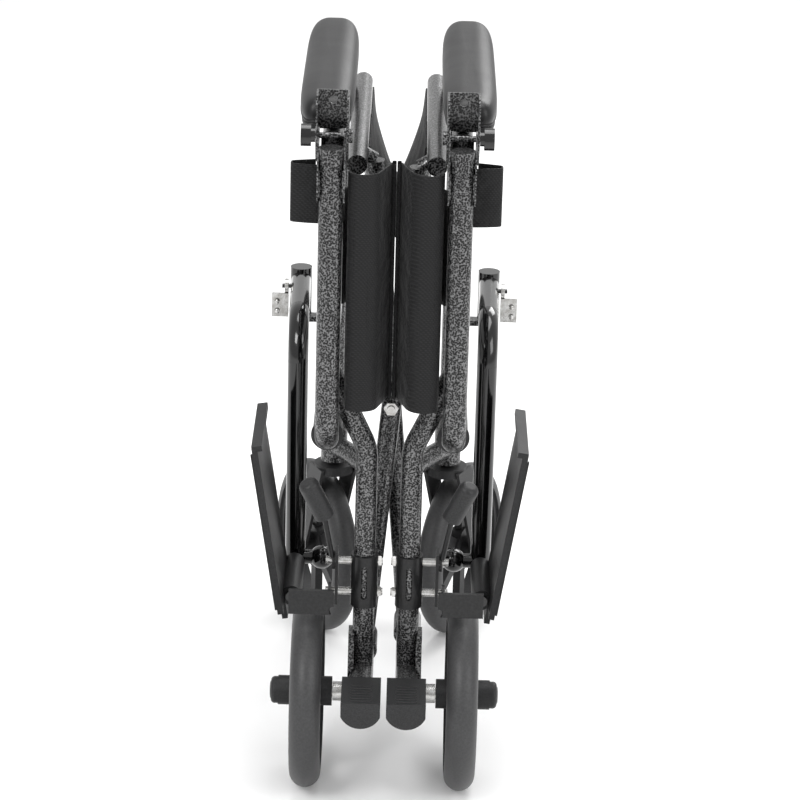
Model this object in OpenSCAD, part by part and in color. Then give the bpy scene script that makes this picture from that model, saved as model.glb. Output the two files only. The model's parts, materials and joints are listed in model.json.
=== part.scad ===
/* [Wheels] */
// Diameter of every wheel over its tyre
wheel_d = 200; // [190:1:204]
// Width of a rear tyre
tyre_w = 32; // [26:1:32]
// Radial thickness of a tyre
tyre_h = 18; // [14:1:22]
// Distance of a rear wheel's middle from the centre line
wheel_x = 80; // [80:1:84]
// Distance from rear axle to caster stem
stem_y = 357; // [350:1:364]
// Trail of a caster
trail = 45; // [40:1:46]
// Angle that a caster is turned to at rest
caster_yaw = 24; // [10:1:30]
// Diameter of a wheel axle
axle_d = 12; // [10:0.5:13]

/* [Side frame] */
// Diameter of the frame tubes
tube_d = 22; // [20:0.5:23]
// Distance of a rear post's lower end from the centre line
post_x = 23; // [22:1:24]
// Distance of the upper posts from the centre line
upper_x = 64; // [63:1:65]
// Height of the lower rails
rail_z = 126; // [124:1:130]
// Height of the arm tubes
arm_z = 689; // [680:1:694]
// Length of the tipping levers behind the axle
tip_len = 104; // [90:1:115]
// Inner radius of the frame's bends
bend_r = 42; // [36:1:44]
// Height of the side rails
side_z = 478; // [470:1:490]

/* [Armrests] */
// Length of an arm pad
pad_len = 360; // [330:5:365]
// Width of an arm pad
pad_w = 55; // [48:1:58]
// Thickness of an arm pad's cushion
pad_h = 27; // [20:1:32]
// Thickness of the board under an arm pad
base_h = 6; // [4:0.5:8]

/* [Folding back] */
// Diameter of a back cane
cane_d = 24; // [22:0.5:24]
// Height of the hinge that the back folds on
hinge_z = 702; // [698:1:704]
// Length of a back cane from its hinge to the middle of its handle
cane_len = 320; // [300:5:325]
// Length of a push handle behind its cane
handle_len = 128; // [110:2:135]
// Diameter of a handle grip
grip_d = 30; // [28:1:31]
// Height of the back cloth
cloth_h = 246; // [200:2:250]
// Thickness of the cloth
cloth_t = 2.4; // [2:0.2:3]

/* [Cross brace] */
// Height that the seat rails stand above the lower rails when folded
brace_h = 529; // [510:1:530]
// Distance of the first brace tube from the rear axle
brace_y = 80; // [74:1:84]
// Distance of a seat rail from the centre line when folded
seat_rail_x = 40; // [38:0.5:40]
// Length of a seat rail
seat_len = 365; // [350:5:370]
// Depth that the seat cloth hangs to
seat_sag = 96; // [80:2:110]

/* [Footrests] */
// Distance of a footrest's pivot from the centre line
pivot_x = 104; // [102:1:108]
// Height of a footrest's top tube
hanger_z = 435; // [425:1:445]
// Length of a footrest's top tube
hanger_len = 157; // [155:1:165]
// Length of a footplate
plate_len = 226; // [200:2:230]
// Width of a footplate
plate_w = 140; // [120:2:142]
// Outward lean of a raised footplate in degrees
plate_lean = 9; // [6:1:10]

/* [Wheel locks] */
// Height of the upper lock bolt
lock_z = 248; // [246:1:252]
// Distance between the two lock bolts
lock_gap = 34; // [32:1:36]
// Diameter of the lock bolts
lock_d = 8; // [6:0.5:9]
// Length of a lock lever's grip
lock_grip_len = 46; // [40:1:50]
// Width of a lock's shoe
shoe_w = 46; // [40:1:48]
// Height of a lock's shoe
shoe_h = 26; // [22:1:28]

/* [Hidden] */
$fn = 48;
tube_r = tube_d / 2;
rail_r = tube_r + 0.5;
arm_r = tube_r - 0.5;
// A weld bead stands this much proud where a tube starts to bend
bead = 0.12;
cane_r = cane_d / 2;
wheel_r = wheel_d / 2;
axle_z = wheel_r;
fit = 0.05;
gap = 0.3;
// The S bend that carries a rear post out to the armrest
bend_z0 = 372;
bend_z1 = 458;
// The lower rail climbs over the caster's turning circle
climb_y0 = 160;
climb_y1 = 290;
climb_z = 240;
// The channel that a raised cane stands in
chan_in = cane_r + 2.1;
chan_t = 2;
chan_low = 674;
chan_top = hinge_z + 39;
web_y = cane_r + 0.4;
ear_t = 1.5;
ear_in = cane_r + gap;
hinge_y = -(cane_r + tube_r + 6) / 2;
cane_y = 2 * hinge_y;
cane_top = hinge_z - 8;
pivot_d = 6;
handle_z = hinge_z - cane_len;
cloth_top = chan_low - 4;
cloth_in = upper_x - ear_in - ear_t - gap;
// The stud on a cane that catches in its channel's hole
catch = 29;
cloth_low = cloth_top - cloth_h;
hem_x = 5;
valley_y = cane_y + 38;
lower_in = upper_x - tube_r - 1;
lower_y = 13;
lower_low = side_z + 42;
lower_top = rail_z + brace_h - 15;
seat_y = 48;
plate_x = pivot_x - 3;
hanger_y = stem_y - hanger_len;
// The footplate's pin stops short of the rear tyre
pin_len = 112;
hub_w = 52;
axle_plate_x = post_x + tube_r;
lock_plate_x = 50;
brace_r = 10.5;
brace_gap = 2;
sleeve_r = rail_r + 3;
brace_bot = brace_y - 32;
brace_top = brace_y + 56;
scissor_z = rail_z + brace_h / 2;
lean_fold = atan2(2 * post_x, brace_h);
// Puts the origin under the middle of the whole, on the floor
caster_nose = (tyre_w - 2) / 2;
front_y = stem_y + (trail + wheel_r - caster_nose) * cos(caster_yaw) + caster_nose;
mid_y = (front_y - tip_len - 6) / 2;
iron = [0.16, 0.16, 0.17];
black = [0.05, 0.05, 0.055];
steel = [0.75, 0.75, 0.76];
cloth = [0.03, 0.03, 0.035];

function unit(v) = v / norm(v);
function cut_back(a, b, c, r) = r * tan(bend_angle(a, b, c) / 2);
function bend_angle(a, b, c) = acos(min(1, max(-1, unit(b - a) * unit(c - b))));

// One straight length of bar from a to b
module bar(a, b, r) {
  v = b - a;
  translate(a) rotate([0, acos(v[2] / norm(v)), atan2(v[1], v[0])]) cylinder(r = r, h = norm(v));
}

// The elbow that turns a bar from a to b into one from b to c
module elbow(a, b, c, r, turn_r) {
  u = unit(b - a);
  w = unit(c - b);
  angle = bend_angle(a, b, c);
  start = b - u * turn_r * tan(angle / 2);
  z = unit(cross(u, w));
  x = cross(u, z);
  centre = start - x * turn_r;
  multmatrix([[x[0], u[0], z[0], centre[0]], [x[1], u[1], z[1], centre[1]], [x[2], u[2], z[2], centre[2]], [0, 0, 0, 1]])
    rotate_extrude(angle = angle) translate([turn_r, 0]) circle(r = r);
}

// A bent tube through the points p
module bent(p, r, turn_r) {
  n = len(p) - 1;
  for (i = [0 : n - 1]) {
    u = unit(p[i + 1] - p[i]);
    s = i == 0 ? 0 : cut_back(p[i - 1], p[i], p[i + 1], turn_r);
    e = i == n - 1 ? 0 : cut_back(p[i], p[i + 1], p[i + 2], turn_r);
    bar(p[i] + u * s, p[i + 1] - u * e, r);
  }
  for (i = [1 : n - 1]) {
    back = cut_back(p[i - 1], p[i], p[i + 1], turn_r);
    elbow(p[i - 1], p[i], p[i + 1], r, turn_r);
    u = unit(p[i] - p[i - 1]);
    w = unit(p[i + 1] - p[i]);
    bar(p[i] - u * (back + 0.6), p[i] - u * (back - 0.6), r + bead);
    bar(p[i] + w * (back - 0.6), p[i] + w * (back + 0.6), r + bead);
  }
}

module along_x(x0, x1, y, z, r) translate([x0, y, z]) rotate([0, 90, 0]) cylinder(r = r, h = x1 - x0);
module along_y(y0, y1, x, z, r) translate([x, y0, z]) rotate([-90, 0, 0]) cylinder(r = r, h = y1 - y0);
module box(a, b) translate(a) cube(b - a);
// Stands a profile drawn in Y and Z upright, from x0 to x1
module profile_x(x0, x1) translate([x0, 0, 0]) rotate([90, 0, 90]) linear_extrude(x1 - x0) children();
// Stands a profile drawn in X and Z upright, from y0 to y1
module profile_y(y0, y1) translate([0, y1, 0]) rotate([90, 0, 0]) linear_extrude(y1 - y0) children();

module frame() {
  color(iron) difference() {
    union() {
      bent([[post_x, 0, rail_z], [post_x, 0, bend_z0], [upper_x, 0, bend_z1], [upper_x, 0, hinge_z - 3]], tube_r, bend_r);
      bent([[post_x, -tip_len, rail_z], [post_x, climb_y0, rail_z], [post_x, climb_y1, climb_z],
            [upper_x, stem_y, climb_z]], rail_r, bend_r);
      bent([[upper_x, 0, arm_z], [upper_x, stem_y, arm_z], [upper_x, stem_y, climb_z + 1]], arm_r, bend_r + 8);
      along_y(0, stem_y, upper_x, side_z, tube_r - 1);
      translate([upper_x, stem_y, wheel_d + 22]) cylinder(r = 15, h = 56);
      axle_plate();
      hanger_lug();
    }
    along_x(post_x - 20, axle_plate_x + 20, 0, axle_z, axle_d / 2 + fit);
    for (z = [lock_z, lock_z - lock_gap]) along_x(0, 60, 0, z, lock_d / 2 + fit);
    translate([upper_x, stem_y, wheel_d]) cylinder(r = 7 + fit, h = 68);
  }
}

module axle_plate() {
  profile_x(axle_plate_x - 2, axle_plate_x + 4) difference() {
    union() {
      translate([0, axle_z]) circle(r = 18);
      polygon([[-18, axle_z], [18, axle_z], [46, rail_z], [12, rail_z + 44], [-10, rail_z + 44], [-22, rail_z]]);
    }
  }
}

// The two pins that a footrest hangs on
module hanger_lug() {
  box([upper_x, stem_y - 8, hanger_z - 48], [pivot_x + 8, stem_y + 8, hanger_z - 42]);
  translate([pivot_x, stem_y, hanger_z - 48]) cylinder(r = 5, h = 50);
}

module tip_cap() {
  color(black) translate([post_x, 0, 0]) difference() {
    profile_y(-tip_len - 6, -46) intersection() {
      translate([0, rail_z + 6]) circle(r = 22);
      translate([-20, rail_z - 18]) square([40, 30]);
    }
    along_y(-tip_len, -40, 0, rail_z, rail_r + fit);
  }
}

module hinge_channel() {
  color(iron) {
    difference() {
      union() {
        for (s = [-1, 1]) profile_x(upper_x + (s > 0 ? chan_in : -chan_in - chan_t), upper_x + (s > 0 ? chan_in + chan_t : -chan_in))
          channel_cheek();
        difference() {
          box([upper_x - chan_in - chan_t, web_y, hinge_z], [upper_x + chan_in + chan_t, web_y + chan_t, chan_top]);
          along_y(web_y - 5, web_y + 10, upper_x, hinge_z + catch, 4);
        }
        for (s = [-1, 1]) along_x(upper_x + (s > 0 ? 8 : -chan_in), upper_x + (s > 0 ? chan_in : -8), -3, chan_low + 6, 4);
      }
      translate([upper_x, 0, 0]) cylinder(r = tube_r, h = hinge_z);
      along_y(0, 60, upper_x, arm_z, tube_r);
      along_x(upper_x - 30, upper_x + 30, hinge_y, hinge_z, pivot_d / 2 + fit);
    }
  }
  color(steel) {
    along_x(upper_x - chan_in - chan_t - 4, upper_x + chan_in + chan_t + 4, hinge_y, hinge_z, pivot_d / 2);
    along_x(upper_x - chan_in - chan_t - 4, upper_x - chan_in - chan_t, hinge_y, hinge_z, 7);
  }
}

module channel_cheek() {
  difference() {
    polygon([[hinge_y - 6, hinge_z - 10], [hinge_y - 6, chan_top - 8], [hinge_y + 2, chan_top], [web_y + chan_t, chan_top],
             [web_y + chan_t, chan_low], [-10, chan_low]]);
    translate([hinge_y, hinge_z]) circle(r = pivot_d / 2 + fit);
  }
}

module arm_pad() {
  x0 = upper_x + 7.5;
  y0 = web_y + chan_t + 1.6;
  z0 = arm_z + arm_r + gap / 3;
  color(black) {
    translate([x0, y0, z0]) linear_extrude(base_h) pad_outline(pad_w - 4);
    hull() {
      translate([x0, y0, z0 + base_h]) linear_extrude(8, $fn = 24) pad_outline(pad_w);
      translate([x0, y0 + 3, z0 + base_h + 15]) linear_extrude(1, $fn = 24) pad_outline(pad_w - 7);
      translate([x0, y0 + 10, z0 + base_h + pad_h - 3]) linear_extrude(3, $fn = 24) pad_outline(pad_w - 22);
    }
  }
}

module pad_outline(w) {
  inset = (pad_w - w) / 2;
  r = min(20, w / 2 - 1);
  for (y = [inset + r, pad_len - inset - r], s = [-1, 1]) translate([s * (w / 2 - r), y]) circle(r = r, $fn = 24);
  translate([-w / 2, inset + r]) square([w, pad_len - 2 * inset - 2 * r]);
  translate([-w / 2 + r, inset]) square([w - 2 * r, pad_len - 2 * inset]);
}

module lock_clamp() {
  color(black) {
    difference() {
      translate([post_x, 0, lock_z - lock_gap - 14]) cylinder(r = tube_r + 3, h = lock_gap + 22);
      translate([post_x, 0, 0]) cylinder(r = tube_r + fit, h = 400);
      for (z = [lock_z, lock_z - lock_gap]) along_x(0, 60, 0, z, lock_d / 2 + fit);
      for (z = [lock_z - 4, lock_z - lock_gap]) along_y(-30, -5, post_x, z - 1, 3);
      box([post_x - 3, -30, lock_z - lock_gap], [post_x + 3, -5, lock_z - 6]);
    }
    difference() {
      profile_x(lock_plate_x, lock_plate_x + 3) polygon([[-11, lock_z - lock_gap - 11], [11, lock_z - lock_gap - 11],
        [11, lock_z + 12], [-11, lock_z + 12]]);
      for (z = [lock_z, lock_z - lock_gap]) along_x(0, 60, 0, z, lock_d / 2 + fit);
    }
  }
}

module lock_bolts() {
  color(steel) for (z = [lock_z, lock_z - lock_gap]) {
    along_x(post_x - tube_r - 8, lock_plate_x + 13, 0, z, lock_d / 2);
    along_x(post_x - tube_r - 6.4, post_x - tube_r - 3, 0, z, 5.5, $fn = 6);
  }
}

module axle() {
  color(steel) {
    along_x(post_x - 18, wheel_x + 34, 0, axle_z, axle_d / 2);
    translate([post_x - 14, 0, axle_z]) rotate([0, 90, 0]) cylinder(r = 9, h = 6, $fn = 6);
  }
  color(black) difference() {
    along_x(axle_plate_x + 4.1, wheel_x - hub_w / 2 - 0.6, 0, axle_z, 10);
    along_x(0, 100, 0, axle_z, axle_d / 2);
  }
}

// Half section of a round-nosed tyre, turned about the wheel's axis
module tyre_body(w) {
  r = w / 2;
  rotate_extrude() intersection() {
    union() {
      translate([wheel_r - r, 0]) circle(r = r);
      translate([wheel_r - tyre_h, -r]) square([max(0.5, tyre_h - r), w]);
    }
    translate([wheel_r - tyre_h, -w]) square([tyre_h + 5, 2 * w]);
  }
}

// A spoked plastic rim with its hub
module rim_body(w, hub) {
  rim_r = wheel_r - tyre_h;
  difference() {
    union() {
      difference() {
        cylinder(r = rim_r, h = w - 6, center = true);
        cylinder(r = rim_r - 7, h = w, center = true);
      }
      for (a = [0 : 60 : 300]) rotate([0, 0, a]) translate([rim_r / 2, 0, 0]) cube([rim_r - 5, 13, 9], center = true);
      cylinder(r = 26, h = 14, center = true);
      cylinder(r = 15.3, h = hub, center = true);
    }
    cylinder(r = axle_d / 2 + fit, h = hub + 2, center = true);
  }
}

module rear_place() translate([wheel_x, 0, axle_z]) rotate([0, 90, 0]) children();
module rear_tyre() color(black) rear_place() tyre_body(tyre_w);
module rear_rim() color(black) rear_place() rim_body(tyre_w, hub_w);

module hub_cap() {
  color(black) difference() {
    union() {
      along_x(wheel_x + hub_w / 2, wheel_x + hub_w / 2 + 4, 0, axle_z, 15.3);
      translate([wheel_x + hub_w / 2 + 4, 0, axle_z]) rotate([0, 90, 0]) rotate_extrude() {
        square([10, 7.5]);
        square([14, 3.5]);
        intersection() {
          translate([10, 3.5]) circle(r = 4);
          square([14, 7.5]);
        }
      }
    }
    along_x(0, wheel_x + 34 + gap, 0, axle_z, axle_d / 2 + fit);
  }
}

module caster_place() translate([upper_x, stem_y, 0]) rotate([0, 0, -caster_yaw]) translate([0, trail, 0]) children();
module caster_wheel_place() caster_place() translate([0, 0, axle_z]) rotate([0, 90, 0]) children();
module caster_tyre() color(black) caster_wheel_place() tyre_body(tyre_w - 2);
module caster_rim() color(black) caster_wheel_place() rim_body(tyre_w - 2, 36);

module caster_fork() {
  color(black) caster_place() {
    for (s = [-1, 1]) profile_x(s > 0 ? 18.6 : -22.1, s > 0 ? 22.1 : -18.6) {
      translate([0, axle_z]) circle(r = 13);
      polygon([[-13, axle_z], [13, axle_z], [-trail + 18, wheel_d + 15], [-trail - 17, wheel_d + 15]]);
    }
    translate([0, -trail, wheel_d + 8]) cylinder(r = 22.1, h = 10);
    box([-22.1, -trail - 8, wheel_d + 8], [22.1, -trail + 14, wheel_d + 15]);
    translate([0, -trail, wheel_d + 10]) cylinder(r = 7, h = 54);
  }
  color(steel) caster_place() along_x(-25, 25, 0, axle_z, axle_d / 2);
}

module hanger() {
  color(black) {
    difference() {
      union() {
        bent([[pivot_x, stem_y, hanger_z], [plate_x, hanger_y, hanger_z], [plate_x, hanger_y, rail_z + 34]], tube_r, bend_r);
        translate([pivot_x, stem_y, hanger_z - 40]) cylinder(r = tube_r + 1, h = 54);
      }
      translate([pivot_x, stem_y, hanger_z - 60]) cylinder(r = 5 + fit, h = 70);
    }
    along_x(plate_x - 29, plate_x, hanger_y, rail_z + 41, 8);
    translate([plate_x - 29, hanger_y, rail_z + 41]) sphere(r = 13);
    along_y(hanger_y - pin_len, hanger_y, plate_x, rail_z + 41, 6);
  }
  color(steel) along_x(pivot_x, pivot_x + tube_r + 9, stem_y - 28, hanger_z, 2.5);
}

module hanger_latch() {
  x0 = pivot_x + tube_r + 2;
  color(steel) {
    difference() {
      along_x(x0, x0 + 4, stem_y - 28, hanger_z, 8);
      along_x(x0 - 2, x0 + 8, stem_y - 28, hanger_z, 2.5 + fit);
    }
    box([x0, stem_y - 34, hanger_z - 34], [x0 + 18, stem_y - 31, hanger_z - 7]);
    box([x0, stem_y - 34, hanger_z - 34], [x0 + 3, stem_y - 22, hanger_z - 7]);
  }
}

module footplate() {
  y0 = hanger_y - 6 - plate_w;
  color(black) translate([plate_x, 0, rail_z + 41]) difference() {
    union() {
      along_y(hanger_y - pin_len + 4, hanger_y - 16, 0, 0, 11);
      rotate([0, plate_lean, 0]) translate([10.5, 0, 0]) {
        box([-3, y0, -4], [3, hanger_y - 14, plate_len - 40]);
        box([-3, hanger_y - pin_len + 5, -26], [3, hanger_y - 14, -3]);
        box([-8, y0, plate_len - 46], [3, hanger_y - 14, plate_len - 40]);
        for (i = [0 : 6]) box([3, y0 + 8 + i * (plate_w - 28) / 6, -2], [6, y0 + 12 + i * (plate_w - 28) / 6, plate_len - 52]);
      }
    }
    along_y(y0 - 5, hanger_y, 0, 0, 6 + fit);
  }
}

module back_cane() {
  color(iron) {
    bent([[upper_x, cane_y, cane_top], [upper_x, cane_y, handle_z], [upper_x, cane_y + handle_len, handle_z]], cane_r, 34);
    difference() {
      for (s = [-1, 1]) profile_x(upper_x + (s > 0 ? ear_in : -ear_in - ear_t), upper_x + (s > 0 ? ear_in + ear_t : -ear_in)) {
        translate([hinge_y, hinge_z]) circle(r = 9);
        polygon([[hinge_y - 9, hinge_z], [hinge_y + 9, hinge_z], [cane_y + cane_r, chan_low - 2], [cane_y + 7, 640], [cane_y - 7, 640],
                 [cane_y - cane_r, chan_low - 2]]);
      }
      along_x(upper_x - 30, upper_x + 30, hinge_y, hinge_z, pivot_d / 2 + fit);
    }
    for (s = [-1, 1]) box([upper_x + s * cane_r - 1.2, cane_y - 6, 645], [upper_x + s * cane_r + 1.2, cane_y + 6, 672]);
  }
  color(steel) along_y(cane_y - cane_r - 2, cane_y - cane_r + 3, upper_x, hinge_z - catch, 3.4);
}

module handle_grip() {
  color(black) difference() {
    union() {
      along_y(cane_y + 36, cane_y + handle_len + 4, upper_x, handle_z, grip_d / 2);
      along_y(cane_y + 36, cane_y + 40, upper_x, handle_z, grip_d / 2 + 1.5);
    }
    along_y(cane_y + 30, cane_y + handle_len + fit, upper_x, handle_z, cane_r + fit);
    for (i = [0 : 6]) translate([upper_x, cane_y + 50 + i * 10, handle_z]) rotate([90, 0, 0]) difference() {
      cylinder(r = grip_d / 2 + 3, h = 2, center = true);
      cylinder(r = grip_d / 2 - 1, h = 3, center = true);
    }
  }
}

module release_knob() {
  x0 = upper_x + chan_in + chan_t + gap;
  color(black) difference() {
    union() {
      along_x(x0, x0 + 4, hinge_y, hinge_z, 7);
      along_x(x0 + 4, x0 + 14, hinge_y, hinge_z, 11);
    }
    along_x(x0 - 2, x0 + 6, hinge_y, hinge_z, pivot_d / 2 + fit);
  }
}

// A webbing loop that goes round the upper post
module strap_loop() {
  color(cloth) translate([0, 0, chan_low - 64]) difference() {
    linear_extrude(62) difference() {
      translate([upper_x, 0]) union() {
        circle(r = tube_r + 2.6);
        polygon([[0, -tube_r - 2.6], [39, -9], [40, 4], [0, tube_r + 2.6]]);
      }
      translate([upper_x, 0]) circle(r = tube_r + gap);
      translate([upper_x, 0]) polygon([[tube_r + 3, -9], [37, -6], [37.6, 1.6], [tube_r + 3, 8]]);
    }
  }
}

// Half the back cloth, folded: flat behind its cane, then a deep fold to the middle
back_line = [[cloth_in, cane_y + 5], [cloth_in - 6, cane_y - 4], [30, cane_y - 9], [14, cane_y - 7], [12, cane_y + 15],
             [10, valley_y - 6], [hem_x, valley_y]];
// Half the lower back cloth, in small pleats between the posts
pleats = 5;
lower_line = [for (i = [0 : pleats]) [lower_in + (hem_x - lower_in) * i / pleats, lower_y + 14 * (i % 2) + 8 * i / pleats]];

// A cloth of even thickness that stands along a line
module hanging(line, z0, z1) {
  n = len(line) - 1;
  back = [for (i = [n : -1 : 0]) [max(line[i][0], hem_x), line[i][1] + cloth_t]];
  translate([0, 0, z0]) linear_extrude(z1 - z0) polygon(concat(line, back));
}
module back_cloth() color(cloth) hanging(back_line, cloth_low, cloth_top);
module lower_cloth() color(cloth) hanging(lower_line, lower_low, lower_top);
module back_hem() color(cloth) box([gap, valley_y - 6, cloth_low], [hem_x - gap, valley_y + 6, cloth_top]);
module lower_hem() color(cloth) box([gap, lower_y + 18, lower_low], [hem_x - gap, lower_y + 27, lower_top]);

// The rod that carries a lock lever's grip
rod_foot = [lock_plate_x + 6.6, -7, lock_z + 7];
rod_head = [lock_plate_x + 16.3, -18, lock_z + 62];
module lock_lever() {
  x0 = lock_plate_x + 3.3;
  color(black) {
    difference() {
      along_x(x0, x0 + 3, 0, lock_z, 10);
      along_x(x0 - 1, x0 + 6, 0, lock_z, lock_d / 2 + fit);
    }
    bar(rod_foot, rod_head, 2.8);
  }
}

module lock_grip() {
  a = [rod_head[0] - 1.4, rod_head[1] + 1.3, rod_head[2] - 6];
  v = unit([20, -14, 46]);
  color(black) difference() {
    translate(a) rotate([0, acos(v[2]), atan2(v[1], v[0])]) rotate_extrude() {
      square([10.5, lock_grip_len - 6]);
      square([4.5, lock_grip_len]);
      intersection() {
        translate([4.5, lock_grip_len - 6]) circle(r = 6);
        square([10.5, lock_grip_len]);
      }
    }
    bar(rod_foot, rod_head, 2.8);
  }
}

module lock_shoe() {
  z0 = lock_z - lock_gap;
  x0 = lock_plate_x + 6.8;
  color(black) {
    difference() {
      profile_x(x0, x0 + 3) {
        translate([0, z0]) circle(r = 9);
        polygon([[0, z0 - 7], [0, z0 + 8], [-50, z0 + 18], [-50, z0 - 3]]);
      }
      along_x(x0 - 1, x0 + 6, 0, z0, lock_d / 2 + fit);
    }
    difference() {
      box([x0 - 4, -54, z0 - 4], [x0 - 4 + shoe_w, -49, z0 - 4 + shoe_h]);
      along_y(-60, -40, x0 - 4, z0, 5);
    }
  }
}

// A cross tube from the lower rail at its foot to the seat rail above the other side
module cross_tube(y) {
  difference() {
    union() {
      bar([-post_x, y, rail_z], [post_x, y, rail_z + brace_h - 10], brace_r);
      along_y(brace_bot, brace_top, -post_x, rail_z, sleeve_r);
      bar([post_x, y, rail_z + brace_h - 10], [seat_rail_x, y, rail_z + brace_h], 8);
      bar([post_x * 0.45, y, scissor_z + 120], [seat_rail_x - 1, y + 190, rail_z + brace_h], 7);
      along_y(seat_y, seat_y - 30 + seat_len, seat_rail_x, rail_z + brace_h, tube_r - 0.8);
    }
    along_y(brace_bot - 1, brace_top + 1, -post_x, rail_z, rail_r + fit);
    along_y(brace_bot - 10, brace_top + 30, 0, scissor_z, 4 + fit);
  }
}

module cross_tube_a() color(iron) intersection() {
  cross_tube(brace_y);
  union() {
    box([-60, 0, scissor_z - 200], [80, 420, 720]);
    box([-60, brace_bot, 90], [80, brace_y + brace_r + 0.5, scissor_z]);
  }
}

module cross_tube_b() color(iron) intersection() {
  mirror([1, 0, 0]) cross_tube(brace_y + 2 * brace_r + brace_gap);
  union() {
    box([-80, 0, scissor_z - 200], [60, 420, 720]);
    box([-80, brace_y + brace_r + 1.5, 90], [60, brace_top, scissor_z]);
  }
}

module scissor_bolt() {
  y0 = brace_y - brace_r;
  y1 = brace_y + 3 * brace_r + brace_gap;
  color(steel) {
    along_y(y0 - 8, y1 + 5, 0, scissor_z, 4);
    translate([0, y0 - 6, scissor_z]) rotate([-90, 0, 0]) cylinder(r = 7.5, h = 5.8, $fn = 6);
    along_y(brace_y + brace_r + 0.2, brace_y + brace_r + brace_gap - 0.2, 0, scissor_z, 9);
  }
}

// The seat cloth hangs in a V between the raised seat rails
module seat_cloth() {
  z1 = rail_z + brace_h - 4;
  x1 = seat_rail_x - tube_r;
  color(cloth) {
    profile_y(brace_top + 2, seat_len + 16) seat_section(x1, z1, seat_sag);
    profile_y(seat_y, brace_bot + 12) seat_section(x1, z1, seat_sag);
    box([-3, seat_y, z1 - seat_sag - cloth_t], [3, brace_top + 4, z1 - seat_sag]);
  }
}
module seat_section(x1, z1, sag) polygon([[-x1, z1], [-x1 * 0.5, z1 - sag * 0.7], [0, z1 - sag], [x1 * 0.5, z1 - sag * 0.7],
  [x1, z1], [x1, z1 - cloth_t * 2], [x1 * 0.5, z1 - sag * 0.7 - cloth_t], [0, z1 - sag - cloth_t],
  [-x1 * 0.5, z1 - sag * 0.7 - cloth_t], [-x1, z1 - cloth_t * 2]]);

module stand() translate([0, -mid_y, 0]) children();
module left() mirror([1, 0, 0]) children();

stand() left() frame();  // left_frame
stand() frame();  // right_frame
stand() left() tip_cap();  // left_tip_cap
stand() tip_cap();  // right_tip_cap
stand() left() hinge_channel();  // left_hinge_channel
stand() hinge_channel();  // right_hinge_channel
stand() left() arm_pad();  // left_arm_pad
stand() arm_pad();  // right_arm_pad
stand() left() lock_clamp();  // left_lock_clamp
stand() lock_clamp();  // right_lock_clamp
stand() left() lock_bolts();  // left_lock_bolts
stand() lock_bolts();  // right_lock_bolts
stand() left() axle();  // left_axle
stand() axle();  // right_axle
stand() left() rear_tyre();  // left_rear_tyre
stand() rear_tyre();  // right_rear_tyre
stand() left() rear_rim();  // left_rear_rim
stand() rear_rim();  // right_rear_rim
stand() left() hub_cap();  // left_hub_cap
stand() hub_cap();  // right_hub_cap
stand() left() caster_fork();  // left_caster_fork
stand() caster_fork();  // right_caster_fork
stand() left() caster_tyre();  // left_caster_tyre
stand() caster_tyre();  // right_caster_tyre
stand() left() caster_rim();  // left_caster_rim
stand() caster_rim();  // right_caster_rim
stand() left() hanger();  // left_hanger
stand() hanger();  // right_hanger
stand() left() hanger_latch();  // left_hanger_latch
stand() hanger_latch();  // right_hanger_latch
stand() left() footplate();  // left_footplate
stand() footplate();  // right_footplate
stand() left() back_cane();  // left_back_cane
stand() back_cane();  // right_back_cane
stand() left() handle_grip();  // left_handle_grip
stand() handle_grip();  // right_handle_grip
stand() left() release_knob();  // left_release_knob
stand() release_knob();  // right_release_knob
stand() left() strap_loop();  // left_strap_loop
stand() strap_loop();  // right_strap_loop
stand() left() back_cloth();  // left_back_cloth
stand() back_cloth();  // right_back_cloth
stand() left() back_hem();  // left_back_hem
stand() back_hem();  // right_back_hem
stand() left() lower_cloth();  // left_lower_cloth
stand() lower_cloth();  // right_lower_cloth
stand() left() lower_hem();  // left_lower_hem
stand() lower_hem();  // right_lower_hem
stand() left() lock_lever();  // left_lock_lever
stand() lock_lever();  // right_lock_lever
stand() left() lock_grip();  // left_lock_grip
stand() lock_grip();  // right_lock_grip
stand() left() lock_shoe();  // left_lock_shoe
stand() lock_shoe();  // right_lock_shoe
stand() cross_tube_a();
stand() cross_tube_b();
stand() scissor_bolt();
stand() seat_cloth();
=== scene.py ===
import json
import math

import bpy
from mathutils import Matrix, Vector


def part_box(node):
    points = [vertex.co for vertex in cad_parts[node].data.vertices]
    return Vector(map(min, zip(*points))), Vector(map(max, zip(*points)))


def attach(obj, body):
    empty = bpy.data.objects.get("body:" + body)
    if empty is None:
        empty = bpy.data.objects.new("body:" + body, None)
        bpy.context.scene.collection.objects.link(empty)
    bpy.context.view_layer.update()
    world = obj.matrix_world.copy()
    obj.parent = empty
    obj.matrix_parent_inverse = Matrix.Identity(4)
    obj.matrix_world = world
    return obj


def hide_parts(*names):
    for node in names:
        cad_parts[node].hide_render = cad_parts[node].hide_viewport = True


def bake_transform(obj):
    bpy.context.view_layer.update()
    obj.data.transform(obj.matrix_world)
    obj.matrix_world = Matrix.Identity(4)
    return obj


bl_info = {
    "name": "Folding transport chair",
    "version": (1, 0, 0),
    "blender": (4, 5, 0),
    "location": "View3D > Sidebar > Chair",
    "description": "Dresses the folded transport chair with its finishes, cloth and pads",
    "category": "Object",
}

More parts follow.
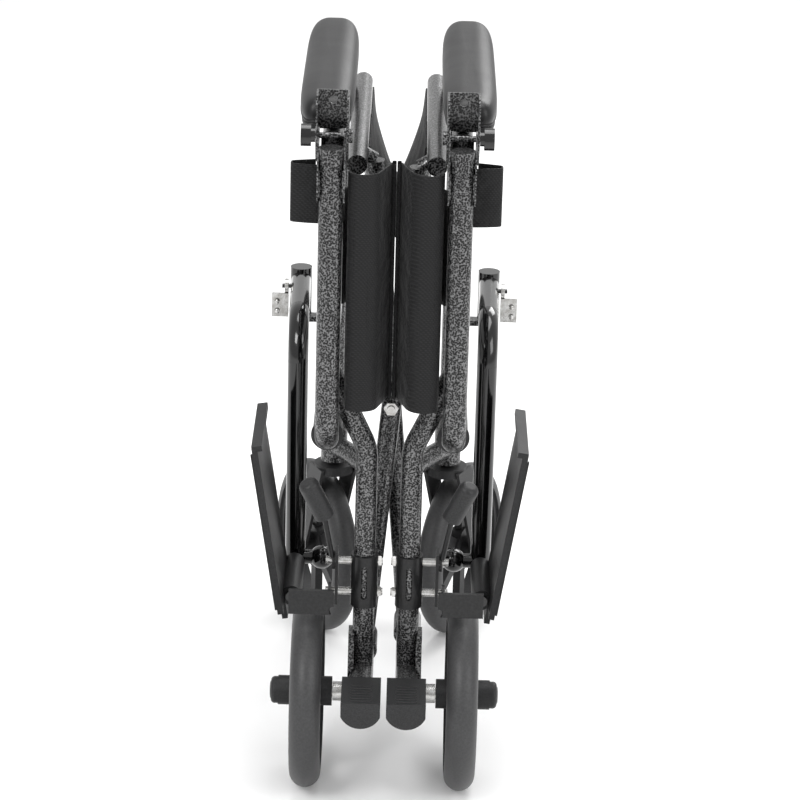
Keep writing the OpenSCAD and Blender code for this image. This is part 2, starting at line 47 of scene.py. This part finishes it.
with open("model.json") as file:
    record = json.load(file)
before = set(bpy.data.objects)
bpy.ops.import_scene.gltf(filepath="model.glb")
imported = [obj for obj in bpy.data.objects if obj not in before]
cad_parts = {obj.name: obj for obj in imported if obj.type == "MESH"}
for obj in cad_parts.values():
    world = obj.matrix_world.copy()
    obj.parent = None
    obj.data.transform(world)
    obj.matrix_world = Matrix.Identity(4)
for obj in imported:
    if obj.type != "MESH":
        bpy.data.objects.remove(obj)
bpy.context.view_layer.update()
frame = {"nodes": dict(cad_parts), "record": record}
NODES = frame["nodes"]
SLOTS = {s["node"]: s["material_slot"] for s in frame["record"]["subparts"]}
SIDES = (("left", -1.0), ("right", 1.0))
REAR_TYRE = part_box("right_rear_tyre")

# Places on the chair, in metres: the rear axle, and the centre line of the rear posts
AXLE_Y = (REAR_TYRE[0][1] + REAR_TYRE[1][1]) / 2
AXLE_Z = 0.1
POST_X = 0.064
BACKWARD = (0, -1, 0)

# The camera was solved from the wheels, the posts and the arm pads
CAMERA_PITCH = 20.0
CAMERA_ROLL = 0.0262
CAMERA_LENS = 146.9
CAMERA_TARGET = Vector((0.0089, AXLE_Y + 0.1478, 0.3705))
CAMERA_TARGET_DISTANCE = 3.447

# Each lamp's name, place, size and power
LAMPS = (
    ("key", (-1.6, -2.4, 2.6), 1.4, 62),
    ("fill", (2.2, -1.8, 1.8), 1.6, 34),
    ("top", (0.2, 0.3, 3.0), 1.8, 50),
    ("rim", (1.2, 2.6, 2.2), 1.4, 34),
)
LAMP_AIM = Vector((0, 0, 0.35))
WORLD_STRENGTH = 0.8

# Points across and along each cloth
HANGING_GRID = (96, 24)
HEM_GRID = (24, 30)
SEAT_GRID = (48, 60)
LOOP_GRID = (80, 16)
CURVE_STEPS = 12

STITCH_LENGTH = 0.0034
STITCH_PITCH = 0.0058
STITCH_WIDTH = 0.0009
# Shares of a stitch's length, width and height, from its start to its end
STITCH_SHAPE = ((0, 0.3, 0.1), (0.25, 1, 0.8), (0.75, 1, 0.8), (1, 0.3, 0.1))
# Shares of a dome's radius and height, from its rim up
DOME_SHAPE = ((1.0, 0.0), (1.0, 0.35), (0.86, 0.7), (0.5, 0.93))
DOME_POINTS = 20

# Scales of the slow variation over every finish and of the creases in cloth
SLOW_SCALE = 14.0
CREASE_SCALE = 22.0
GLOSS_BLACK = ((0.002, 0.002, 0.0022), (0.004, 0.004, 0.0042))
MATT_BLACK = ((0.018, 0.018, 0.0186), (0.034, 0.034, 0.035))
PATTERNS = {}


# ---------- mesh helpers ----------


def new_object(name, vertices, faces):
    """A mesh object with smooth faces."""
    mesh = bpy.data.meshes.new(name)
    mesh.from_pydata([tuple(v) for v in vertices], [], faces)
    mesh.validate()
    mesh.update()
    mesh.shade_smooth()
    obj = bpy.data.objects.new(name, mesh)
    bpy.context.scene.collection.objects.link(obj)
    return obj


def grid(name, place, across, along):
    """A sheet of quads whose points are place(u, v), with u and v from 0 to 1."""
    points = [
        place(i / across, j / along)
        for j in range(along + 1)
        for i in range(across + 1)
    ]
    step = across + 1
    faces = [
        (j * step + i, j * step + i + 1, (j + 1) * step + i + 1, (j + 1) * step + i)
        for j in range(along)
        for i in range(across)
    ]
    return new_object(name, points, faces)


def ring_faces(rings, count):
    """The quads between rings of count points each."""
    faces = []
    for k in range(rings - 1):
        for i in range(count):
            j = (i + 1) % count
            faces.append((k * count + i, k * count + j, (k + 1) * count + j, (k + 1) * count + i))
    return faces


def crown_faces(rings, count):
    """The triangles from the last ring to the one point that follows it."""
    last, middle = (rings - 1) * count, rings * count
    return [(last + i, last + (i + 1) % count, middle) for i in range(count)]


def thicken(obj, thickness):
    """Gives a sheet an even thickness and softly rounded edges."""
    solid = obj.modifiers.new("thickness", "SOLIDIFY")
    solid.thickness = thickness
    solid.offset = 0.0
    bevel = obj.modifiers.new("edge", "BEVEL")
    bevel.width = thickness * 0.3
    bevel.segments = 2
    bevel.limit_method = "ANGLE"
    bevel.angle_limit = math.radians(60)


def curved(line, count):
    """count + 1 points spaced evenly along a smooth curve through line, and its length."""
    points = [Vector(p) for p in line]
    ends = [points[0] * 2 - points[1]] + points + [points[-1] * 2 - points[-2]]
    fine = []
    for i in range(1, len(ends) - 2):
        a, b, c, d = ends[i - 1 : i + 3]
        for k in range(CURVE_STEPS):
            t = k / CURVE_STEPS
            square = (2 * a - 5 * b + 4 * c - d) * t * t
            cube = (3 * b - a - 3 * c + d) * t**3
            fine.append(0.5 * (2 * b + (c - a) * t + square + cube))
    fine.append(points[-1])
    steps = [0.0]
    for p, q in zip(fine, fine[1:]):
        steps.append(steps[-1] + (q - p).length)
    result, k = [], 0
    for i in range(count + 1):
        target = steps[-1] * i / count
        while k < len(steps) - 2 and steps[k + 1] < target:
            k += 1
        span = max(steps[k + 1] - steps[k], 1e-9)
        result.append(fine[k].lerp(fine[k + 1], min(1, (target - steps[k]) / span)))
    return result, steps[-1]


def signed_power(value, power):
    """The power of a number's size, with the number's sign."""
    return math.copysign(abs(value) ** power, value)


def superellipse(half_x, half_y, power, count):
    """count points round a rectangle with softly rounded corners."""
    points = []
    for i in range(count):
        a = 2 * math.pi * i / count
        x = signed_power(math.cos(a), 2 / power) * half_x
        y = signed_power(math.sin(a), 2 / power) * half_y
        points.append((x, y))
    return points


def layered(name, centre, half_x, half_y, layers, crown=0.0, power=5.0, count=72):
    """A closed form made of rings, one for each (height, inset) of layers."""
    lowest, highest = layers[0][0], layers[-1][0]
    vertices = []
    for height, inset in layers:
        for x, y in superellipse(half_x - inset, half_y - inset, power, count):
            rise = crown * (1 - (y / half_y) ** 2) * max(0.0, height - lowest) / (highest - lowest)
            vertices.append((centre[0] + x, centre[1] + y, centre[2] + height + rise))
    vertices.append((centre[0], centre[1], centre[2] + highest + crown))
    base = [tuple(range(count - 1, -1, -1))]
    faces = ring_faces(len(layers), count) + base + crown_faces(len(layers), count)
    return new_object(name, vertices, faces)


def tube(name, points, radius, closed=False):
    """A round bead or wire along the points."""
    curve = bpy.data.curves.new(name, "CURVE")
    curve.dimensions = "3D"
    curve.bevel_depth = radius
    curve.bevel_resolution = 3
    spline = curve.splines.new("POLY")
    spline.points.add(len(points) - 1)
    for point, p in zip(spline.points, points):
        point.co = (*p, 1)
    spline.use_cyclic_u = closed
    obj = bpy.data.objects.new(name, curve)
    bpy.context.scene.collection.objects.link(obj)
    return obj


def stitches(name, start, end, out):
    """A straight row of stitches that lie on a cloth, with out pointing away from it."""
    start, end, out = Vector(start), Vector(end), Vector(out).normalized()
    run = (end - start).normalized()
    side = run.cross(out)
    vertices, faces = [], []
    for k in range(int((end - start).length / STITCH_PITCH)):
        a = start + run * (k + 0.5) * STITCH_PITCH
        base = len(vertices)
        for t, w, h in STITCH_SHAPE:
            middle = a + run * STITCH_LENGTH * t
            aside = side * STITCH_WIDTH * w / 2
            vertices += [middle - aside, middle + out * STITCH_WIDTH * h, middle + aside]
        for r in range(3):
            b = base + r * 3
            faces += [(b, b + 1, b + 4, b + 3), (b + 1, b + 2, b + 5, b + 4)]
    return new_object(name, vertices, faces)


def domed(name, centre, axis, radius, height):
    """A domed rivet or bolt head that faces along axis."""
    turn = Vector((0, 0, 1)).rotation_difference(Vector(axis).normalized()).to_matrix()
    vertices = []
    for r, h in DOME_SHAPE:
        for i in range(DOME_POINTS):
            a = 2 * math.pi * i / DOME_POINTS
            point = Vector((math.cos(a) * r * radius, math.sin(a) * r * radius, h * height))
            vertices.append(Vector(centre) + turn @ point)
    vertices.append(Vector(centre) + turn @ Vector((0, 0, height)))
    rings = len(DOME_SHAPE)
    faces = ring_faces(rings, DOME_POINTS) + crown_faces(rings, DOME_POINTS)
    return new_object(name, vertices, faces)


def dress(obj, slot, body=None):
    """Gives a piece its finish and the body that it rides on."""
    obj.data.materials.clear()
    obj.data.materials.append(PATTERNS[slot])
    if body:
        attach(obj, body)
    return obj


def sewn(name, start, end, body):
    """A row of stitches on the back of a cloth, in thread."""
    row = stitches(name, start, end, BACKWARD)
    dress(row, "nylon", body)
    row.data.materials[0] = PATTERNS["thread"]


def corners(node):
    """The lowest and highest corner of a node, as vectors."""
    return [Vector(p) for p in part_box(node)]


# ---------- finishes ----------


def pattern_output(tree, kind, scale):
    """The 0 to 1 output of cells, a noise or a weave at that scale."""
    nodes, link = tree.nodes, tree.links.new
    where = nodes.new("ShaderNodeTexCoord").outputs["Object"]
    if kind == "weave":
        waves = []
        for direction in ("Z", "DIAGONAL"):
            wave = nodes.new("ShaderNodeTexWave")
            wave.bands_direction = direction
            wave.inputs["Scale"].default_value = scale
            wave.inputs["Distortion"].default_value = 1.2
            wave.inputs["Detail"].default_value = 1
            link(where, wave.inputs["Vector"])
            waves.append(wave.outputs["Fac"])
        both = nodes.new("ShaderNodeMath")
        both.operation = "MULTIPLY"
        link(waves[0], both.inputs[0])
        link(waves[1], both.inputs[1])
        return both.outputs[0]
    if kind == "cells":
        cells = nodes.new("ShaderNodeTexVoronoi")
        cells.feature = "SMOOTH_F1"
        cells.inputs["Scale"].default_value = scale
        cells.inputs["Smoothness"].default_value = 0.6
        link(where, cells.inputs["Vector"])
        return cells.outputs["Distance"]
    noise = nodes.new("ShaderNodeTexNoise")
    noise.inputs["Scale"].default_value = scale
    noise.inputs["Detail"].default_value = 5
    noise.inputs["Roughness"].default_value = 0.6
    link(where, noise.inputs["Vector"])
    return noise.outputs["Fac"]


def finish(name, dark, light, kind, scale, roughness, metallic=0.0, bump=0.2, depth=0.0004,
           edges=(0.35, 0.65), coat=0.0, sheen=0.0, gloss=0.5, crumple=0.0):
    """A finish whose colour, roughness and bump come from one pattern and a slow variation."""
    material = bpy.data.materials.new(name)
    material.use_nodes = True
    tree = material.node_tree
    nodes, link = tree.nodes, tree.links.new
    shader = nodes["Principled BSDF"]
    shader.inputs["Metallic"].default_value = metallic
    shader.inputs["Coat Weight"].default_value = coat
    shader.inputs["Coat Roughness"].default_value = 0.08
    shader.inputs["Sheen Weight"].default_value = sheen
    shader.inputs["Specular IOR Level"].default_value = gloss
    fine = pattern_output(tree, kind, scale)
    slow = pattern_output(tree, "noise", SLOW_SCALE)
    ramp = nodes.new("ShaderNodeValToRGB")
    for stop, position, colour in zip(ramp.color_ramp.elements, edges, (dark, light)):
        stop.position = position
        stop.color = (*colour, 1)
    link(fine, ramp.inputs["Fac"])
    vary = nodes.new("ShaderNodeMix")
    vary.data_type = "RGBA"
    vary.blend_type = "MULTIPLY"
    vary.inputs["Factor"].default_value = 0.35
    link(ramp.outputs["Color"], vary.inputs["A"])
    link(slow, vary.inputs["B"])
    link(vary.outputs["Result"], shader.inputs["Base Color"])
    spread = nodes.new("ShaderNodeMapRange")
    spread.inputs["To Min"].default_value = max(0.02, roughness - 0.08)
    spread.inputs["To Max"].default_value = min(1.0, roughness + 0.1)
    link(slow, spread.inputs["Value"])
    link(spread.outputs["Result"], shader.inputs["Roughness"])
    relief = nodes.new("ShaderNodeBump")
    relief.inputs["Strength"].default_value = bump
    relief.inputs["Distance"].default_value = depth
    link(fine, relief.inputs["Height"])
    if crumple:
        folds = nodes.new("ShaderNodeBump")
        folds.inputs["Strength"].default_value = 0.7
        folds.inputs["Distance"].default_value = crumple
        link(pattern_output(tree, "noise", CREASE_SCALE), folds.inputs["Height"])
        link(folds.outputs["Normal"], relief.inputs["Normal"])
    link(relief.outputs["Normal"], shader.inputs["Normal"])
    PATTERNS[name] = material


def shades(colour, darker, lighter):
    """A darker and a lighter shade of a colour."""
    return tuple(v * darker for v in colour), tuple(v * lighter for v in colour)


class ChairColours(bpy.types.PropertyGroup):
    """The colours of the chair's finishes."""

    hammertone_dark: bpy.props.FloatVectorProperty(
        name="Hammertone dark", description="Dark ground of the frame paint",
        subtype="COLOR", size=3, default=(0.003, 0.003, 0.0032), min=0, max=1)
    hammertone_light: bpy.props.FloatVectorProperty(
        name="Hammertone light", description="Silver speckle of the frame paint",
        subtype="COLOR", size=3, default=(0.19, 0.19, 0.192), min=0, max=1)
    cloth: bpy.props.FloatVectorProperty(
        name="Cloth", description="Colour of the nylon cloth",
        subtype="COLOR", size=3, default=(0.0105, 0.0105, 0.011), min=0, max=1)
    vinyl: bpy.props.FloatVectorProperty(
        name="Vinyl", description="Colour of the arm pads",
        subtype="COLOR", size=3, default=(0.009, 0.009, 0.0096), min=0, max=1)
    floor: bpy.props.FloatVectorProperty(
        name="Floor", description="Colour of the floor",
        subtype="COLOR", size=3, default=(0.9, 0.9, 0.9), min=0, max=1)


class ChairSizes(bpy.types.PropertyGroup):
    """The sizes of the chair's soft pieces."""

    cloth_thickness: bpy.props.FloatProperty(
        name="Cloth thickness", description="Thickness of the doubled nylon cloth",
        default=0.0018, min=0.0008, max=0.004, unit="LENGTH")
    cloth_wave: bpy.props.FloatProperty(
        name="Cloth wave", description="How far the hanging cloth waves from its fold line",
        default=0.0016, min=0, max=0.004, unit="LENGTH")
    webbing_thickness: bpy.props.FloatProperty(
        name="Webbing thickness", description="Thickness of the strap loops",
        default=0.0018, min=0.001, max=0.003, unit="LENGTH")
    piping: bpy.props.FloatProperty(
        name="Piping", description="Radius of the bead round an arm pad",
        default=0.0016, min=0.0008, max=0.003, unit="LENGTH")
    board: bpy.props.FloatProperty(
        name="Board", description="Thickness of the board under an arm pad",
        default=0.006, min=0.004, max=0.01, unit="LENGTH")


def colours():
    return bpy.context.scene.chair_colours


def sizes():
    return bpy.context.scene.chair_sizes


# ---------- the pieces ----------


class CHAIR_OT_finishes(bpy.types.Operator):
    """Makes every finish and puts it on the frame's own pieces"""

    bl_idname = "chair.finishes"
    bl_label = "Finishes"

    def execute(self, context):
        c = colours()
        finish("hammertone", tuple(c.hammertone_dark), tuple(c.hammertone_light), "cells", 560.0, 0.3,
               metallic=0.55, bump=0.45, depth=0.0005, edges=(0.4, 0.7), coat=0.3, gloss=0.3)
        finish("gloss_paint", *GLOSS_BLACK, "noise", 260.0, 0.14, bump=0.05, depth=0.0003, coat=0.6, gloss=0.3)
        finish("black_paint", (0.008, 0.008, 0.0083), (0.016, 0.016, 0.0166), "noise", 420.0, 0.36,
               bump=0.12, coat=0.1, gloss=0.25)
        finish("nickel", (0.45, 0.44, 0.42), (0.72, 0.72, 0.71), "noise", 160.0, 0.26, metallic=1.0, bump=0.05)
        finish("black_plastic", *MATT_BLACK, "noise", 900.0, 0.46, bump=0.15, gloss=0.22)
        finish("gloss_plastic", *GLOSS_BLACK, "noise", 500.0, 0.18, bump=0.05, coat=0.5, gloss=0.3)
        finish("tyre", (0.036, 0.036, 0.037), (0.05, 0.05, 0.0512), "noise", 420.0, 0.46, bump=0.05, gloss=0.35)
        finish("grip_rubber", *MATT_BLACK, "noise", 600.0, 0.42, bump=0.15, gloss=0.25)
        finish("vinyl", *shades(tuple(c.vinyl), 0.8, 1.2), "cells", 700.0, 0.4,
               bump=0.22, depth=0.0002, edges=(0.2, 0.75), gloss=0.3)
        finish("nylon", *shades(tuple(c.cloth), 0.6, 1.6), "weave", 150.0, 0.62,
               bump=0.4, depth=0.0003, edges=(0.1, 0.7), sheen=0.06, gloss=0.2, crumple=0.012)
        finish("thread", (0.012, 0.012, 0.0125), (0.022, 0.022, 0.023), "noise", 1200.0, 0.6, gloss=0.2)
        for name, obj in NODES.items():
            for slot in obj.material_slots:
                slot.material = PATTERNS[SLOTS[name]]
        return {"FINISHED"}


class CHAIR_OT_arm_pads(bpy.types.Operator):
    """Makes the crowned vinyl arm pads, their boards and their piping"""

    bl_idname = "chair.arm_pads"
    bl_label = "Arm pads"

    def execute(self, context):
        s = sizes()
        for side, _ in SIDES:
            low, high = corners(side + "_arm_pad")
            centre = (low + high) / 2
            half = (high - low) / 2
            foot = (centre.x, centre.y, low.z)
            top = 2 * half.z
            base = s.board
            board = layered(side + "_pad_board", foot, half.x - 0.002, half.y - 0.002,
                            ((0, 0.0012), (0.0012, 0), (base - 0.001, 0), (base, 0.001)), power=7)
            dress(board, "black_plastic", side + "_side")
            # The cushion's rings: a tuck over the board, an upright side and a rounded top
            rings = ((base, 0.005), (base + 0.001, 0.0012), (base + 0.005, 0.0001), (base + 0.011, 0.0003),
                     (base + 0.017, 0.0022), (base + 0.021, 0.0055), (top - 0.0035, 0.0105), (top - 0.0015, 0.017))
            pad = layered(side + "_pad_cushion", foot, half.x, half.y, rings, 0.001, 5.5)
            smooth = pad.modifiers.new("smooth", "SUBSURF")
            smooth.levels = smooth.render_levels = 2
            dress(pad, "vinyl", side + "_side")
            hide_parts(side + "_arm_pad")
            ring = [(centre.x + x, centre.y + y, low.z + base + 0.0012)
                    for x, y in superellipse(half.x - 0.0018, half.y - 0.0018, 5.5, 120)]
            dress(tube(side + "_pad_piping", ring, s.piping, True), "vinyl", side + "_side")
        return {"FINISHED"}


def hung_pair(side, sign, label, line, bodies, stitched_at):
    """One half of a hanging cloth with its folded line, its middle hem and its stitches.

    bodies are the one that carries its stitches, the one at its seam, and a third that is not used.
    stitched_at gives the shares of the line where a row of stitches runs down the cloth.
    """
    s = sizes()
    across, along = HANGING_GRID
    cloth_node, hem_node = f"{side}_{label}_cloth", f"{side}_{label}_hem"
    low, high = (corner[2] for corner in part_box(cloth_node))
    points, length = curved([(x * sign, y, 0) for x, y in line], across)
    height = high - low

    def place(u, v):
        p = points[round(u * across)]
        shift = 1.3 if sign > 0 else 0
        wave = math.sin(9 * u + 5 * v + shift) * math.sin(math.pi * u) * s.cloth_wave
        return Vector((p.x, p.y + wave * math.sin(2.2 + 3.1 * v), low + height * v))

    cloth = grid(f"{side}_{label}_cloth_sheet", place, across, along)
    thicken(cloth, s.cloth_thickness)
    dress(cloth, "nylon")
    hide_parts(cloth_node)
    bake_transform(cloth)
    node_low, node_high = corners(hem_node)
    middle = (node_low + node_high) / 2
    half = (node_high - node_low) / 2

    def hem_place(u, v):
        a = 2 * math.pi * u
        x = signed_power(math.cos(a), 0.5) * half.x
        y = signed_power(math.sin(a), 0.7) * half.y
        return Vector((middle.x + x * 0.96, middle.y + y * 0.96, node_low.z + (node_high.z - node_low.z) * v))

    hem = grid(f"{side}_{label}_hem_roll", hem_place, *HEM_GRID)
    dress(hem, "nylon", bodies[1])
    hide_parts(hem_node)
    sewn(f"{side}_{label}_hem_stitches", (middle.x, node_low.y, node_low.z + 0.004),
         (middle.x, node_low.y, node_high.z - 0.004), bodies[1])
    for k, share in enumerate(stitched_at):
        p = points[round(share * across)]
        y = p.y - s.cloth_thickness / 2
        sewn(f"{side}_{label}_cloth_stitches_{k + 1}", (p.x, y, low + 0.004), (p.x, y, high - 0.004), bodies[0])


class CHAIR_OT_back_cloth(bpy.types.Operator):
    """Makes the folded halves of the back cloth behind the rear posts"""

    bl_idname = "chair.back_cloth"
    bl_label = "Back cloth"

    def execute(self, context):
        y = AXLE_Y
        line = [(0.0467, y - 0.025), (0.044, y - 0.033), (0.036, y - 0.0375), (0.026, y - 0.036),
                (0.0175, y - 0.029), (0.0125, y - 0.017), (0.0085, y - 0.004), (0.005, y + 0.0085)]
        for side, sign in SIDES:
            bodies = (side + "_back", side + "_back_seam", side + "_back_cane")
            hung_pair(side, sign, "back", line, bodies, (0.16, 0.36))
        return {"FINISHED"}


class CHAIR_OT_lower_cloth(bpy.types.Operator):
    """Makes the pleated halves of the lower back cloth between the rear posts"""

    bl_idname = "chair.lower_cloth"
    bl_label = "Lower cloth"

    def execute(self, context):
        y = AXLE_Y + 0.013
        line = [(0.052, y + 0.001), (0.043, y + 0.014), (0.034, y + 0.005),
                (0.024, y + 0.018), (0.015, y + 0.009), (0.0055, y + 0.0215)]
        for side, sign in SIDES:
            bodies = (side + "_side", side + "_lower_seam", side + "_frame")
            hung_pair(side, sign, "lower", line, bodies, ())
        return {"FINISHED"}


class CHAIR_OT_seat_cloth(bpy.types.Operator):
    """Makes the seat cloth that hangs in a V between the seat rails"""

    bl_idname = "chair.seat_cloth"
    bl_label = "Seat cloth"

    def execute(self, context):
        s = sizes()
        across, along = SEAT_GRID
        low, high = corners("seat_cloth")
        half = high.x
        drop = high.z - low.z - s.cloth_thickness
        # Shares of the half width and of the drop, from a rail towards the middle
        slope = ((1, 0), (0.86, 0.33), (0.52, 0.68), (0.2, 0.94))
        profile = [(-half * x, -drop * z) for x, z in slope] + [(0, -drop)]
        profile += [(half * x, -drop * z) for x, z in reversed(slope)]
        points, length = curved([(x, 0, z) for x, z in profile], across)
        front = high.y - 0.002
        back = low.y + 0.088

        def place(u, v):
            p = points[round(u * across)]
            ripple = 0.0012 * math.sin(17 * v + 3 * u) * math.sin(math.pi * u)
            return Vector((p.x + ripple, back + (front - back) * v, high.z - 0.001 + p.z))

        cloth = grid("seat_cloth_sheet", place, across, along)
        thicken(cloth, s.cloth_thickness)
        dress(cloth, "nylon")
        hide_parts("seat_cloth")
        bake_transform(cloth)
        return {"FINISHED"}


class CHAIR_OT_strap_loops(bpy.types.Operator):
    """Makes the wide webbing loops round the rear posts"""

    bl_idname = "chair.strap_loops"
    bl_label = "Strap loops"

    def execute(self, context):
        s = sizes()
        across, along = LOOP_GRID
        reach, radius = 0.0395, 0.0126
        line = []
        for degrees in range(60, 301, 30):
            a = math.radians(degrees)
            line.append((POST_X + radius * math.cos(a), radius * math.sin(a)))
        line += [(POST_X + 0.017, -0.0105), (POST_X + 0.029, -0.0088), (POST_X + reach - 0.001, -0.006),
                 (POST_X + reach, -0.001), (POST_X + reach - 0.0015, 0.0035), (POST_X + 0.028, 0.0066),
                 (POST_X + 0.016, 0.0098)]
        for side, sign in SIDES:
            low, high = corners(side + "_strap_loop")
            points, length = curved([(x * sign, AXLE_Y + y, 0) for x, y in line], across)

            def place(u, v, points=points, low=low, high=high):
                p = points[round(u * across)]
                return Vector((p.x, p.y, low.z + 0.001 + (high.z - low.z - 0.002) * v))

            loop = grid(side + "_strap_webbing", place, across, along)
            thicken(loop, s.webbing_thickness)
            dress(loop, "nylon", side + "_side")
            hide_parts(side + "_strap_loop")
            for k, z in enumerate((low.z + 0.005, high.z - 0.005)):
                sewn(f"{side}_strap_stitches_{k + 1}", (sign * (POST_X + 0.014), AXLE_Y - 0.0125, z),
                     (sign * (POST_X + 0.036), AXLE_Y - 0.0082, z), side + "_side")
        return {"FINISHED"}


class CHAIR_OT_details(bpy.types.Operator):
    """Adds the latches' rivets, the tip caps' ribs, the channels' screws and the hubs' discs"""

    bl_idname = "chair.details"
    bl_label = "Details"

    def execute(self, context):
        for side, sign in SIDES:
            low, high = corners(side + "_hanger_latch")
            outer = low.x if sign < 0 else high.x
            for k, z in enumerate((low.z + 0.007, low.z + 0.018)):
                rivet = domed(f"{side}_latch_rivet_{k + 1}", (outer - sign * 0.006, low.y, z), BACKWARD, 0.0026, 0.0012)
                dress(rivet, "nickel", side + "_latch")
            low, high = corners(side + "_tip_cap")
            middle = (low.x + high.x) / 2
            for k in range(7):
                y = low.y + 0.006 + k * 0.006
                arc = [(middle - 0.011, y, high.z), (middle, y - 0.001, high.z + 0.0003), (middle + 0.011, y, high.z)]
                dress(tube(f"{side}_tip_rib_{k + 1}", arc, 0.0008), "black_plastic", side + "_side")
            low, high = corners(side + "_hinge_channel")
            screw = domed(side + "_channel_screw", (sign * POST_X, high.y, high.z - 0.028), (0, 1, 0), 0.0048, 0.0022)
            dress(screw, "nickel", side + "_side")
            low, high = corners(side + "_hub_cap")
            face = low.x if sign < 0 else high.x
            disc = domed(side + "_hub_disc", (face, AXLE_Y, AXLE_Z), (sign, 0, 0), 0.0092, 0.0014)
            dress(disc, "gloss_plastic", side + "_rear_wheel")
        return {"FINISHED"}


class CHAIR_OT_stage(bpy.types.Operator):
    """Makes the pale floor, the soft lights and the camera"""

    bl_idname = "chair.stage"
    bl_label = "Stage"

    def execute(self, context):
        floor = new_object("stage_floor", [(-15, -15, 0), (15, -15, 0), (15, 15, 0), (-15, 15, 0)], [(0, 1, 2, 3)])
        ground = bpy.data.materials.new("floor")
        ground.use_nodes = True
        ground_shader = ground.node_tree.nodes["Principled BSDF"]
        ground_shader.inputs["Base Color"].default_value = (*colours().floor, 1)
        ground_shader.inputs["Roughness"].default_value = 0.9
        floor.data.materials.append(ground)
        world = bpy.data.worlds.new("studio")
        world.use_nodes = True
        world.node_tree.nodes["Background"].inputs["Color"].default_value = (1, 1, 1, 1)
        world.node_tree.nodes["Background"].inputs["Strength"].default_value = WORLD_STRENGTH
        context.scene.world = world
        for name, place, size, power in LAMPS:
            light = bpy.data.lights.new(name, "AREA")
            light.size = size
            light.energy = power
            lamp = bpy.data.objects.new(name, light)
            lamp.location = place
            lamp.rotation_euler = (LAMP_AIM - Vector(place)).to_track_quat("-Z", "Y").to_euler()
            context.scene.collection.objects.link(lamp)
        pitch = math.radians(CAMERA_PITCH)
        forward = Vector((0, math.cos(pitch), -math.sin(pitch)))
        up = (Vector((0, math.sin(pitch), math.cos(pitch))) - Vector((CAMERA_ROLL, 0, 0))).normalized()
        right = forward.cross(up)
        turn = Matrix((right, up, -forward)).transposed().to_4x4()
        data = bpy.data.cameras.new("camera")
        data.sensor_width = 36
        data.lens = CAMERA_LENS
        data.clip_end = 60
        camera = bpy.data.objects.new("camera", data)
        camera.matrix_world = Matrix.Translation(CAMERA_TARGET - forward * CAMERA_TARGET_DISTANCE) @ turn
        context.scene.collection.objects.link(camera)
        context.scene.camera = camera
        context.scene.view_settings.view_transform = "Standard"
        return {"FINISHED"}


class CHAIR_PT_panel(bpy.types.Panel):
    """Lists the chair's colours, sizes and steps"""

    bl_idname = "CHAIR_PT_panel"
    bl_label = "Transport chair"
    bl_space_type = "VIEW_3D"
    bl_region_type = "UI"
    bl_category = "Chair"

    def draw(self, context):
        for group in (colours(), sizes()):
            for name in group.bl_rna.properties.keys():
                if name not in ("rna_type", "name"):
                    self.layout.prop(group, name)
        for step in STEPS:
            self.layout.operator(step.bl_idname)


STEPS = (
    CHAIR_OT_stage,
    CHAIR_OT_finishes,
    CHAIR_OT_arm_pads,
    CHAIR_OT_back_cloth,
    CHAIR_OT_lower_cloth,
    CHAIR_OT_seat_cloth,
    CHAIR_OT_strap_loops,
    CHAIR_OT_details,
)
CLASSES = (ChairColours, ChairSizes, *STEPS, CHAIR_PT_panel)


def register():
    for c in CLASSES:
        bpy.utils.register_class(c)
    bpy.types.Scene.chair_colours = bpy.props.PointerProperty(type=ChairColours)
    bpy.types.Scene.chair_sizes = bpy.props.PointerProperty(type=ChairSizes)


def unregister():
    del bpy.types.Scene.chair_sizes
    del bpy.types.Scene.chair_colours
    for c in reversed(CLASSES):
        bpy.utils.unregister_class(c)


def main():
    register()
    bpy.ops.chair.stage()
    bpy.ops.chair.finishes()
    bpy.ops.chair.arm_pads()
    bpy.ops.chair.back_cloth()
    bpy.ops.chair.lower_cloth()
    bpy.ops.chair.seat_cloth()
    bpy.ops.chair.strap_loops()
    bpy.ops.chair.details()


if __name__ == "__main__":
    main()
